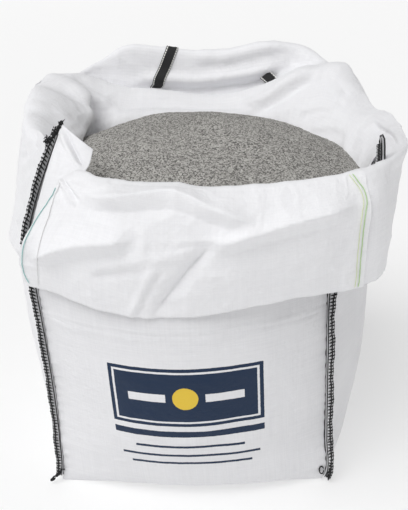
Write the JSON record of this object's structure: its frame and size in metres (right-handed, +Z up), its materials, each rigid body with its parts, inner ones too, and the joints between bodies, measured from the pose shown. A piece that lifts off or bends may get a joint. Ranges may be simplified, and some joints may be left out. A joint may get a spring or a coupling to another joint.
{
  "type": "bulk bag of granite dust",
  "caption": "Filled woven bulk bag standing open, with bulging walls, black-stitched corner seams, a turned-down skirt and black lifting loops round a heap of fine granite dust.",
  "frame": {"origin": "middle of the flat base, on the floor", "axes": "+Z up; -Y towards the front, where the skirt is turned down; +X to the right as seen from the front"},
  "size_m": [1.1265, 1.0858, 1.1147],
  "materials": {
    "granite_dust": "fine loose grains, matt warm grey",
    "woven_white": "white woven polypropylene tape cloth, slightly glossy",
    "skirt_white": "lighter white woven polypropylene tape cloth, creased",
    "black_thread": "cloth edges bound with thick black overlock thread",
    "black_webbing": "matt black webbing with pale edge stitching"
  },
  "bodies": {
    "root": {"granite_dust": "granite_dust", "front_base_back_panel": "woven_white", "left_side_panel": "woven_white", "right_side_panel": "woven_white", "top_skirt": "skirt_white", "corner_seam_front_left": "black_thread", "corner_seam_front_right": "black_thread", "corner_seam_back_left": "black_thread", "corner_seam_back_right": "black_thread", "lifting_loop_back_left": "black_webbing", "lifting_loop_back_right": "black_webbing"}
  },
  "joints": []
}
